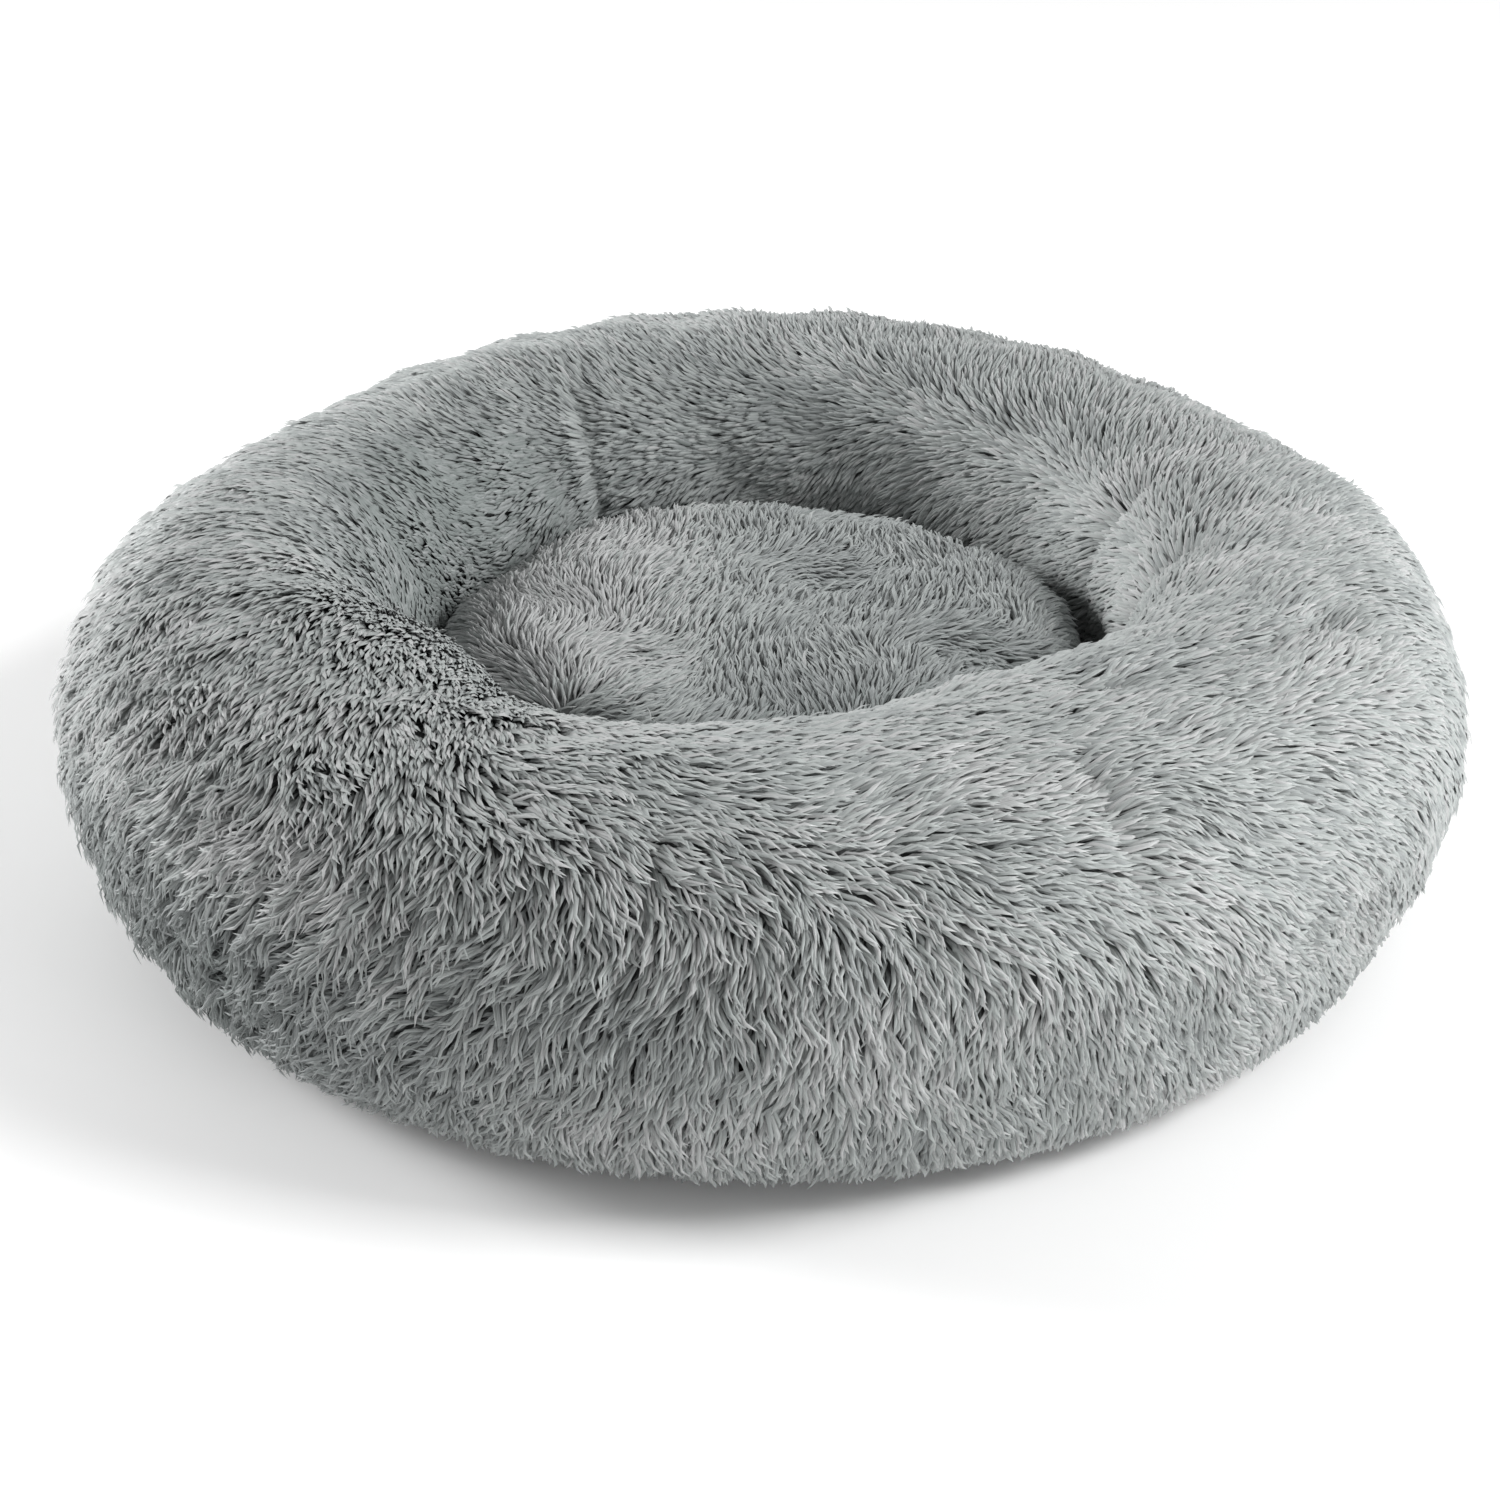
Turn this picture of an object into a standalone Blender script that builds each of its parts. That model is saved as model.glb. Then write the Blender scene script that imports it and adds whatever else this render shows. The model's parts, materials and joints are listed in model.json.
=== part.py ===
"""Round pet cushion bed: a plush ring bolster round a padded floor, on a non-slip base.

Metres, +Z up. The origin is the middle of the underside, where the bed stands on the floor, and the
front of the bed faces -Y. A removable fur cover, in a left and a right ring panel and a floor panel,
closes under the ring with a curved zip at the back. It holds two stuffed inner bags.
"""

import math

import bmesh
import bpy
from mathutils import Vector

# Driving dimensions
OVERALL_DIAMETER = 0.80
OVERALL_HEIGHT = 0.20
WELL_DIAMETER = 0.40  # where the ring bulges furthest in
RING_CREST_DIAMETER = 0.584
FLOOR_CROWN_HEIGHT = 0.135

GAP = 0.0003  # between pieces that touch
STEP_DEG = 9  # every turned piece has its corners at multiples of this angle
ZIP_STEP_DEG = 3

# Ring section: a squashed circle, squarer underneath
RING_RADIUS = RING_CREST_DIAMETER / 2
OUTER_HALF_WIDTH = OVERALL_DIAMETER / 2 - RING_RADIUS
INNER_HALF_WIDTH = RING_RADIUS - WELL_DIAMETER / 2
RING_MIDDLE = OVERALL_HEIGHT / 2
ROUND = 1.0
OUTER_FOOT_SHAPE = 0.8
INNER_FOOT_SHAPE = 0.3

# Fur cloth: a knitted backing with its pile
PILE_THICKNESS = 0.014
EDGE_THICKNESS = 0.0012
PILE_STARTS_AT, PILE_FULL_AT = 0.017, 0.060  # heights between which the cloth reaches full thickness
FRONT_SEAM_DEG = -99

# Base: a flat disc with a sloping rim that carries the zip
BASE_THICKNESS = 0.0012
BASE_FLAT_RADIUS = 0.325
RIM_RUN, RIM_RISE = 0.0425, 0.017
RIM_SLOPE = math.atan2(RIM_RISE, RIM_RUN)
FUR_EDGE_ALONG_RIM = 0.036

# Inner bags of thin non-woven cloth, and the fibre in them
BAG_WALL = 0.0008
BAG_UNDERSIDE = BASE_THICKNESS + 0.001
FLOOR_RADIUS = 0.197
FLOOR_UNDERSIDE = BASE_THICKNESS + 0.0006
FLOOR_DOME_SHAPE = 6.0
FLOOR_RIM_THICKNESS = 0.007
SLIT_LENGTH, SLIT_WIDTH = 0.13, 0.006

# Zip, measured along the rim's slope from where it leaves the floor, and inwards from its surface
ZIP_START_DEG, ZIP_END_DEG = 18, 162
ZIP_LINE = 0.028
ZIP_SLOT = 0.0215, FUR_EDGE_ALONG_RIM
TAPE_WIDTH, TAPE_DEPTH = 0.0104, (0.0024, 0.0032)
COIL_WIDTH, COIL_DEPTH = 0.003, (0.0008, 0.0021)
HALF_POST_SLOT = 0.0006
COIL_START_DEG, COIL_END_DEG = 21, 159
STOP_ARC_DEG = 0.6
STOP_DEPTH = (0.0002, 0.0021)

# Slider and its pull
SLIDER_DEG = 22.2
SLIDER_HALF_WIDTH, SLIDER_HALF_LENGTH = 0.005, 0.006
LOWER_PLATE, UPPER_PLATE = (-0.0007, 0.0005), (0.0035, 0.0047)
POST_HALF_WIDTH = 0.0003
BRIDGE_HALF_WIDTH, BRIDGE_HALF_LENGTH, BRIDGE_LEG = 0.0008, 0.004, 0.0015
BRIDGE_BOTTOM, BRIDGE_WINDOW = -0.0039, -0.0027
PULL_AXIS_DEPTH = -0.0017
PULL_THICKNESS = 0.0012
PULL_WIDTH, PULL_EYE_WIDTH, PULL_EYE_LENGTH, PULL_LENGTH = 0.0056, 0.0026, 0.005, 0.024

# Care label, a blank ribbon sewn into the seam of the base
LABEL_START_DEG, LABEL_END_DEG = 171, 175.5
LABEL_ALONG_RIM, LABEL_DEPTH = (0.006, 0.0352), (-0.0009, -0.0003)


def clear_scene():
    for old in list(bpy.data.objects):
        bpy.data.objects.remove(old)


def new_collection(name):
    collection = bpy.data.collections.new(name)
    bpy.context.scene.collection.children.link(collection)
    return collection


def new_material(name, colour, roughness, metallic=0.0):
    material = bpy.data.materials.new(name)
    material.use_nodes = True
    shader = material.node_tree.nodes["Principled BSDF"]
    shader.inputs["Base Color"].default_value = (*colour, 1.0)
    shader.inputs["Roughness"].default_value = roughness
    shader.inputs["Metallic"].default_value = metallic
    return material


def new_object(name, mesh, collection, material=None):
    made = bpy.data.objects.new(name, mesh)
    collection.objects.link(made)
    if material:
        mesh.materials.append(material)
    return made


def squashed_circle(angle_deg):
    """A point of the ring section, out from its middle. 0 degrees is outwards and 90 is up."""
    angle = math.radians(angle_deg)
    across, rise = math.cos(angle), math.sin(angle)
    shape = ROUND if rise >= 0 else OUTER_FOOT_SHAPE if across > 0 else INNER_FOOT_SHAPE
    half_width = OUTER_HALF_WIDTH if across > 0 else INNER_HALF_WIDTH
    return (
        half_width * math.copysign(abs(across) ** shape, across),
        RING_MIDDLE * math.copysign(abs(rise) ** shape, rise),
    )


def cover_thickness(height):
    """Thin at the sewn edge, and full where the pile stands free."""
    share = (height - PILE_STARTS_AT) / (PILE_FULL_AT - PILE_STARTS_AT)
    return EDGE_THICKNESS + (PILE_THICKNESS - EDGE_THICKNESS) * min(max(share, 0.0), 1.0)


def along_rim(run, depth):
    """A point (radius, height) on the base's sloping rim, depth inwards from its surface."""
    return (
        BASE_FLAT_RADIUS + run * math.cos(RIM_SLOPE) - depth * math.sin(RIM_SLOPE),
        run * math.sin(RIM_SLOPE) + depth * math.cos(RIM_SLOPE),
    )


def ring_angles():
    """Section angles from the foot of the outer wall, over the crest, to the foot of the inner wall."""
    return [-52, -36, -18, 0, 18, 36, 54, 72, 90, 112.5, 135, 157.5, 180, 210, 240]


def under_the_cover(angle_deg, inset):
    """A point of the ring section (radius, height), inset from the cover's inner face."""
    across, rise = squashed_circle(angle_deg)
    scale = 1 - (cover_thickness(RING_MIDDLE + rise) + inset) / RING_MIDDLE
    return (RING_RADIUS + across * scale, RING_MIDDLE + rise * scale)


def fur_section():
    """The ring panels' section: the outer face from the inner foot over to the rim, then the inner face back."""
    outer = [squashed_circle(angle) for angle in reversed(ring_angles())]
    outer = [(RING_RADIUS + across, RING_MIDDLE + rise) for across, rise in outer]
    inner = [under_the_cover(angle, 0) for angle in reversed(ring_angles())]
    outer.append(along_rim(FUR_EDGE_ALONG_RIM, 0))
    inner.append(along_rim(FUR_EDGE_ALONG_RIM, EDGE_THICKNESS))
    return outer + inner[::-1]


def bag_section(inset):
    """The ring bag's section, inset from its outside: under the cover, and flat where it lies on the base."""
    points = [under_the_cover(angle, GAP + inset) for angle in reversed(ring_angles()[1:])]
    underside = BAG_UNDERSIDE + inset
    return [*points, (BASE_FLAT_RADIUS - inset, underside), (points[0][0], underside)]


def dome(radius, height, bottom, steps=8):
    """The floor cushion's upper side, from its middle out to its edge."""
    points = [(0.0, bottom + height)]
    for i in range(1, steps + 1):
        angle = math.pi / 2 * i / steps
        points.append(
            (
                radius * math.sin(angle) ** (2 / FLOOR_DOME_SHAPE),
                bottom + height * max(math.cos(angle), 0.0) ** (2 / FLOOR_DOME_SHAPE),
            )
        )
    return points


def turned(name, profile, collection, material=None, closed=True):
    """A profile of (radius, height) points turned about Z. An open profile starts and ends on the axis."""
    count = len(profile)
    edges = [(i, i + 1) for i in range(count - 1)] + ([(count - 1, 0)] if closed else [])
    mesh = bpy.data.meshes.new(name)
    mesh.from_pydata([(radius, 0, height) for radius, height in profile], edges, [])
    made = new_object(name, mesh, collection, material)
    screw = made.modifiers.new("turn", "SCREW")
    screw.axis = "Z"
    screw.steps = screw.render_steps = 360 // STEP_DEG
    screw.use_merge_vertices = True
    screw.merge_threshold = 1e-5
    return made


def swept(name, section, start_deg, end_deg, steps, collection, material=None):
    """A section of (radius, height) points swept about Z from one angle to another, with closed ends."""
    start, turn = math.radians(start_deg), math.radians(end_deg - start_deg)
    shape = bmesh.new()
    corners = [
        shape.verts.new((radius * math.cos(start), radius * math.sin(start), height))
        for radius, height in section
    ]
    face = shape.faces.new(corners)
    bmesh.ops.spin(
        shape,
        geom=[face, *face.edges, *face.verts],
        angle=turn,
        steps=steps,
        axis=(0, 0, 1),
        cent=(0, 0, 0),
    )
    bmesh.ops.recalc_face_normals(shape, faces=shape.faces)
    mesh = bpy.data.meshes.new(name)
    shape.to_mesh(mesh)
    shape.free()
    return new_object(name, mesh, collection, material)


def rim_band(name, runs, depths, start_deg, end_deg, steps, collection, material=None):
    """A band that lies along the rim's slope between two runs and two depths."""
    section = [
        along_rim(runs[0], depths[0]),
        along_rim(runs[1], depths[0]),
        along_rim(runs[1], depths[1]),
        along_rim(runs[0], depths[1]),
    ]
    return swept(name, section, start_deg, end_deg, steps, collection, material)


def block(name, low, high, collection, material=None, parent=None):
    """A block between two corners, in its parent's axes."""
    low, high = Vector(low), Vector(high)
    shape = bmesh.new()
    bmesh.ops.create_cube(shape, size=1.0)
    bmesh.ops.scale(shape, vec=high - low, verts=shape.verts)
    bmesh.ops.translate(shape, vec=(low + high) / 2, verts=shape.verts)
    mesh = bpy.data.meshes.new(name)
    shape.to_mesh(mesh)
    shape.free()
    made = new_object(name, mesh, collection, material)
    made.parent = parent
    return made


def join_or_cut(target, other, operation):
    """A Boolean with a helper that isn't itself a part."""
    other.hide_render = True
    other.display_type = "WIRE"
    modifier = target.modifiers.new(operation.lower() + "_" + other.name, "BOOLEAN")
    modifier.operation = operation
    modifier.solver = "EXACT"
    modifier.object = other


def half_space(name, seam_deg, side, helpers):
    """A block over one side of the upright plane through the axis at seam_deg, short of it by half a gap."""
    reach = OVERALL_DIAMETER
    near, far = sorted((side * GAP / 2, side * reach))
    made = block(name, (-reach, near, -reach), (reach, far, reach), helpers)
    made.rotation_euler.z = math.radians(seam_deg)
    return made


def make_fur_cover(parts, helpers, fur):
    for name, side in (("ring_fur_right", 1), ("ring_fur_left", -1)):
        panel = turned(name, fur_section(), parts, fur)
        join_or_cut(panel, half_space(name + "_side", FRONT_SEAM_DEG, side, helpers), "INTERSECT")
    top = dome(FLOOR_RADIUS, FLOOR_CROWN_HEIGHT - FLOOR_UNDERSIDE, FLOOR_UNDERSIDE)
    under = dome(
        FLOOR_RADIUS - FLOOR_RIM_THICKNESS,
        FLOOR_CROWN_HEIGHT - PILE_THICKNESS - FLOOR_UNDERSIDE,
        FLOOR_UNDERSIDE,
    )
    turned("floor_fur", top + under[::-1], parts, fur, closed=False)


def slit(name, radius, angle_deg, helpers):
    """The cutter for a filling slit in the underside of a bag."""
    low = (radius - SLIT_WIDTH / 2, -SLIT_LENGTH / 2, -0.01)
    high = (radius + SLIT_WIDTH / 2, SLIT_LENGTH / 2, 0.01)
    made = block(name, low, high, helpers)
    made.rotation_euler.z = math.radians(angle_deg)
    return made


def make_inner_bags(parts, helpers, bag_cloth, fibre):
    bag = turned("ring_bag", bag_section(0), parts, bag_cloth)
    hollow = turned("ring_bag_hollow", bag_section(BAG_WALL), helpers)
    join_or_cut(bag, hollow, "DIFFERENCE")
    join_or_cut(bag, slit("ring_bag_slit", RING_RADIUS, 90, helpers), "DIFFERENCE")
    turned("ring_fibre", bag_section(BAG_WALL + GAP), parts, fibre)

    def cushion(inset):
        top = dome(
            FLOOR_RADIUS - FLOOR_RIM_THICKNESS - GAP - inset,
            FLOOR_CROWN_HEIGHT - PILE_THICKNESS - GAP - FLOOR_UNDERSIDE - 2 * inset,
            FLOOR_UNDERSIDE + inset,
        )
        return [*top, (0.0, FLOOR_UNDERSIDE + inset)]

    bag = turned("floor_bag", cushion(0), parts, bag_cloth, closed=False)
    hollow = turned("floor_bag_hollow", cushion(BAG_WALL), helpers, closed=False)
    join_or_cut(bag, hollow, "DIFFERENCE")
    join_or_cut(bag, slit("floor_bag_slit", 0, 90, helpers), "DIFFERENCE")
    turned("floor_fibre", cushion(BAG_WALL + GAP), parts, fibre, closed=False)


def make_base(parts, helpers, oxford, ribbon):
    edge = FUR_EDGE_ALONG_RIM - GAP
    profile = [
        (0.0, BASE_THICKNESS),
        (BASE_FLAT_RADIUS - BASE_THICKNESS / 2, BASE_THICKNESS),
        along_rim(edge, BASE_THICKNESS),
        along_rim(edge, 0),
        (BASE_FLAT_RADIUS, 0.0),
        (0.0, 0.0),
    ]
    base = turned("base_panel", profile, parts, oxford, closed=False)
    slot = rim_band(
        "zip_slot",
        (ZIP_SLOT[0], ZIP_SLOT[1] + 0.01),
        (-0.005, 0.005),
        ZIP_START_DEG,
        ZIP_END_DEG,
        (ZIP_END_DEG - ZIP_START_DEG) // ZIP_STEP_DEG,
        helpers,
    )
    join_or_cut(base, slot, "DIFFERENCE")
    rim_band("care_label", LABEL_ALONG_RIM, LABEL_DEPTH, LABEL_START_DEG, LABEL_END_DEG, 2, parts, ribbon)


def make_zip_chain(parts, tape_cloth, coil_nylon, metal):
    """Two tapes, each with its coil. Side -1 is nearer the middle of the bed and 1 nearer its edge."""
    arc_steps = (ZIP_END_DEG - ZIP_START_DEG) // ZIP_STEP_DEG
    coil_steps = (COIL_END_DEG - COIL_START_DEG) // ZIP_STEP_DEG
    for label, side in (("inner", -1), ("outer", 1)):
        edge = ZIP_LINE + side * HALF_POST_SLOT
        tape = sorted((edge, edge + side * TAPE_WIDTH))
        coil = sorted((edge, edge + side * COIL_WIDTH))
        rim_band(
            "zip_tape_" + label, tape, TAPE_DEPTH, ZIP_START_DEG, ZIP_END_DEG, arc_steps, parts, tape_cloth
        )
        rim_band(
            "zip_coil_" + label, coil, COIL_DEPTH, COIL_START_DEG, COIL_END_DEG, coil_steps, parts, coil_nylon
        )
        end = COIL_START_DEG - 2 * STOP_ARC_DEG
        rim_band("zip_top_stop_" + label, coil, STOP_DEPTH, end, end + STOP_ARC_DEG, 1, parts, metal)
    reach = HALF_POST_SLOT + COIL_WIDTH
    start = COIL_END_DEG + STOP_ARC_DEG
    rim_band(
        "zip_bottom_stop",
        (ZIP_LINE - reach, ZIP_LINE + reach),
        STOP_DEPTH,
        start,
        start + STOP_ARC_DEG,
        1,
        parts,
        metal,
    )


def make_slider(parts, helpers, metal):
    """The slider turns about the bed's axis along the zip. Its X is across the zip, Y along it and Z inwards."""
    arc = bpy.data.objects.new("zip_arc", None)
    parts.objects.link(arc)
    arc.rotation_euler.z = math.radians(SLIDER_DEG)
    across, along = SLIDER_HALF_WIDTH, SLIDER_HALF_LENGTH
    body = block(
        "zip_slider",
        (-across, -along, LOWER_PLATE[0]),
        (across, along, LOWER_PLATE[1]),
        parts,
        metal,
        arc,
    )
    radius, height = along_rim(ZIP_LINE, 0)
    body.location = (radius, 0, height)
    body.rotation_euler.y = -RIM_SLOPE
    upper = block(
        "slider_upper_plate",
        (-across, -along, UPPER_PLATE[0]),
        (across, along, UPPER_PLATE[1]),
        helpers,
        parent=body,
    )
    post = block(
        "slider_post",
        (-POST_HALF_WIDTH, -along / 2, LOWER_PLATE[0] / 2),
        (POST_HALF_WIDTH, along / 2, sum(UPPER_PLATE) / 2),
        helpers,
        parent=body,
    )
    bridge = block(
        "slider_bridge",
        (-BRIDGE_HALF_WIDTH, -BRIDGE_HALF_LENGTH, BRIDGE_BOTTOM),
        (BRIDGE_HALF_WIDTH, BRIDGE_HALF_LENGTH, LOWER_PLATE[0] / 2),
        helpers,
        parent=body,
    )
    window = block(
        "slider_window",
        (-2 * BRIDGE_HALF_WIDTH, BRIDGE_LEG - BRIDGE_HALF_LENGTH, BRIDGE_WINDOW),
        (2 * BRIDGE_HALF_WIDTH, BRIDGE_HALF_LENGTH - BRIDGE_LEG, LOWER_PLATE[0]),
        helpers,
        parent=body,
    )
    for other in (upper, post, bridge):
        join_or_cut(body, other, "UNION")
    join_or_cut(body, window, "DIFFERENCE")
    return body


def make_pull(parts, helpers, metal, slider):
    """A flat tab with an eye. Its near end is a bar in the slider's bridge, and the tab turns about it."""
    half, thick = PULL_WIDTH / 2, PULL_THICKNESS
    low, high = (-half, -thick / 2, -thick / 2), (half, PULL_LENGTH, thick / 2)
    tab = block("zip_pull", low, high, parts, metal, slider)
    tab.location.z = PULL_AXIS_DEPTH
    shape = bmesh.new()
    shape.from_mesh(tab.data)
    corners = [
        edge
        for edge in shape.edges
        if min(end.co.y for end in edge.verts) > PULL_LENGTH / 2
        and edge.verts[0].co.x * edge.verts[1].co.x > 0
    ]
    bmesh.ops.bevel(
        shape,
        geom=corners,
        offset=half * 0.9,
        affect="EDGES",
        segments=4,
        profile=0.5,
        material=-1,
    )
    shape.to_mesh(tab.data)
    shape.free()
    eye = block(
        "pull_eye",
        (-PULL_EYE_WIDTH / 2, thick / 2, -thick),
        (PULL_EYE_WIDTH / 2, PULL_EYE_LENGTH, thick),
        helpers,
        parent=tab,
    )
    join_or_cut(tab, eye, "DIFFERENCE")


def build():
    clear_scene()
    parts = new_collection("pet_cushion_bed")
    helpers = new_collection("cutters")
    fur = new_material("grey_plush", (0.34, 0.36, 0.355), 0.95)
    oxford = new_material("black_oxford", (0.025, 0.026, 0.028), 0.8)
    bag_cloth = new_material("white_nonwoven", (0.78, 0.78, 0.76), 0.9)
    fibre = new_material("white_fibre", (0.85, 0.85, 0.83), 1.0)
    tape_cloth = new_material("grey_tape", (0.12, 0.125, 0.13), 0.85)
    coil_nylon = new_material("grey_nylon", (0.16, 0.165, 0.17), 0.45)
    metal = new_material("nickel", (0.55, 0.54, 0.52), 0.35, 1.0)
    ribbon = new_material("white_ribbon", (0.8, 0.8, 0.79), 0.6)
    make_fur_cover(parts, helpers, fur)
    make_inner_bags(parts, helpers, bag_cloth, fibre)
    make_base(parts, helpers, oxford, ribbon)
    make_zip_chain(parts, tape_cloth, coil_nylon, metal)
    slider = make_slider(parts, helpers, metal)
    make_pull(parts, helpers, metal, slider)


build()
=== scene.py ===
"""Round plush pet bed: non-slip base, curved zip, stuffed ring and floor cushion, and their long pile.

Metres, +Z up, the front faces -Y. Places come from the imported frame. On the base's sloping rim they are
measured as the part measures them: a run up the slope, and a depth inwards from its surface.
"""

import json
import math

import bmesh
import bpy
import numpy as np
from mathutils import Matrix, Vector


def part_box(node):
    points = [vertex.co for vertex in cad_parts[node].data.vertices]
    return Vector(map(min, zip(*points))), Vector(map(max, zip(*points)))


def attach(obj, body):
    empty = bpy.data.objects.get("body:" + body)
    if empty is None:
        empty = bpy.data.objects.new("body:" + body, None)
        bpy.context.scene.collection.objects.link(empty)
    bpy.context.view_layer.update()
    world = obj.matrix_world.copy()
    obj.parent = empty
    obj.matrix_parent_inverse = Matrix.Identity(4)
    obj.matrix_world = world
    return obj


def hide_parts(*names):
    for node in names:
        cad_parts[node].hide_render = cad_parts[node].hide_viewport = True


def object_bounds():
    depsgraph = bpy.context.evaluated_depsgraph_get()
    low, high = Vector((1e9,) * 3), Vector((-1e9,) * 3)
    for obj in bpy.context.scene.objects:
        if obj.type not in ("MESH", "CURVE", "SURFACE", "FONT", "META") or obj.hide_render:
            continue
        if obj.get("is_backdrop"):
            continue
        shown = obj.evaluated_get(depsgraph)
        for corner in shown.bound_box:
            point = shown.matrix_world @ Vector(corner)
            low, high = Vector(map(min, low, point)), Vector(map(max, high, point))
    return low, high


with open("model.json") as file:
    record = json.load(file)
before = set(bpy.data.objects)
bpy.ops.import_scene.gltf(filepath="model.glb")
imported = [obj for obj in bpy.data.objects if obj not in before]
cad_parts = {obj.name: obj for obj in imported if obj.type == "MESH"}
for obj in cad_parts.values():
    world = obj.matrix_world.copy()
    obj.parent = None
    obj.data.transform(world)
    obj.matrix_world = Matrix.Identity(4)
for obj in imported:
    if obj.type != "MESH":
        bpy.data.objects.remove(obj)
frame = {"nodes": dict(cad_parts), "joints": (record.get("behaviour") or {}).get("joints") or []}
cad_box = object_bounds()

# --- Base --------------------------------------------------------------------------------------
# A disc of coated Oxford cloth with a sloping rim, cut out along the back for the zip. Drops of soft
# PVC printed on its flat keep the bed from sliding, and lockstitch holds it to the fur at its edge.

BASE_FLAT_RADIUS = 0.325
RIM_SLOPE = math.atan2(0.017, 0.0425)
RIM_SEAM = 0.0335
ZIP_SEAM = 0.0200
ZIP_START_DEG, ZIP_END_DEG = 18, 162
ZIP_SLOT = 0.0215, 0.0357
RIM_EDGE_RUNS = 0, 0.007, 0.014
BASE_THICKNESS = 0.0012
YARN_PITCH = 0.0006
WEAVE_RADIUS = 0.351
DOT_RADIUS, DOT_HEIGHT, DOT_PITCH, DOT_MARGIN = 0.002, 0.0004, 0.014, 0.012
STITCH_LENGTH, STITCH_PITCH, THREAD_RADIUS = 0.0030, 0.0038, 0.00022


def new_material(name):
    material = bpy.data.materials.new(name)
    material.use_nodes = True
    tree = material.node_tree
    return material, tree.nodes, tree.links, tree.nodes["Principled BSDF"]


def math_node(nodes, links, operation, first, second=None):
    """A math node on sockets or plain values. Returns its output."""
    made = nodes.new("ShaderNodeMath")
    made.operation = operation
    for socket, value in zip(made.inputs, (first, second)):
        if isinstance(value, bpy.types.NodeSocket):
            links.new(value, socket)
        elif value is not None:
            socket.default_value = value
    return made.outputs[0]


def mixed_colour(nodes, links, factor, low, high):
    made = nodes.new("ShaderNodeMix")
    made.data_type = "RGBA"
    links.new(factor, made.inputs["Factor"])
    for socket, value in ((made.inputs["A"], low), (made.inputs["B"], high)):
        if isinstance(value, bpy.types.NodeSocket):
            links.new(value, socket)
        else:
            socket.default_value = (*value, 1)
    return made.outputs["Result"]


def weave_group():
    """A plain weave across X and Y, with Height 0 to 1 over each yarn and Slub, an unevenness of 0 to 1."""
    group = bpy.data.node_groups.new("plain_weave", "ShaderNodeTree")
    group.interface.new_socket("Vector", in_out="INPUT", socket_type="NodeSocketVector")
    group.interface.new_socket("Pitch", in_out="INPUT", socket_type="NodeSocketFloat")
    group.interface.new_socket("Height", in_out="OUTPUT", socket_type="NodeSocketFloat")
    group.interface.new_socket("Slub", in_out="OUTPUT", socket_type="NodeSocketFloat")
    nodes, links = group.nodes, group.links
    given, given_out = nodes.new("NodeGroupInput"), nodes.new("NodeGroupOutput")
    axes = nodes.new("ShaderNodeSeparateXYZ")
    links.new(given.outputs["Vector"], axes.inputs[0])
    domes = []
    cells = []
    for axis in ("X", "Y"):
        yarns = math_node(nodes, links, "DIVIDE", axes.outputs[axis], given.outputs["Pitch"])
        wave = math_node(nodes, links, "SINE", math_node(nodes, links, "MULTIPLY", yarns, math.pi))
        domes.append(math_node(nodes, links, "ABSOLUTE", wave))
        cells.append(math_node(nodes, links, "FLOOR", yarns))
    pair = math_node(nodes, links, "ADD", *cells)
    over = math_node(nodes, links, "FLOORED_MODULO", pair, 2.0)
    height = nodes.new("ShaderNodeMix")
    links.new(over, height.inputs["Factor"])
    links.new(domes[0], height.inputs["A"])
    links.new(domes[1], height.inputs["B"])
    links.new(height.outputs["Result"], given_out.inputs["Height"])
    slub = nodes.new("ShaderNodeTexNoise")
    slub.inputs["Scale"].default_value = 90
    links.new(given.outputs["Vector"], slub.inputs["Vector"])
    links.new(slub.outputs["Fac"], given_out.inputs["Slub"])
    return group


def polar_group():
    """The place on the bed as arc length round it at the zip, distance from its middle, and height."""
    group = bpy.data.node_groups.new("round_the_bed", "ShaderNodeTree")
    group.interface.new_socket("Vector", in_out="OUTPUT", socket_type="NodeSocketVector")
    nodes, links = group.nodes, group.links
    given_out = nodes.new("NodeGroupOutput")
    place = nodes.new("ShaderNodeTexCoord")
    axes = nodes.new("ShaderNodeSeparateXYZ")
    links.new(place.outputs["Object"], axes.inputs[0])
    turn = math_node(nodes, links, "ARCTAN2", axes.outputs["Y"], axes.outputs["X"])
    across = math_node(nodes, links, "POWER", axes.outputs["X"], 2.0)
    deep = math_node(nodes, links, "POWER", axes.outputs["Y"], 2.0)
    distance = math_node(nodes, links, "SQRT", math_node(nodes, links, "ADD", across, deep))
    joined = nodes.new("ShaderNodeCombineXYZ")
    links.new(math_node(nodes, links, "MULTIPLY", turn, WEAVE_RADIUS), joined.inputs["X"])
    links.new(distance, joined.inputs["Y"])
    links.new(axes.outputs["Z"], joined.inputs["Z"])
    links.new(joined.outputs[0], given_out.inputs["Vector"])
    return group


plain_weave = weave_group()
round_the_bed = polar_group()


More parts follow.
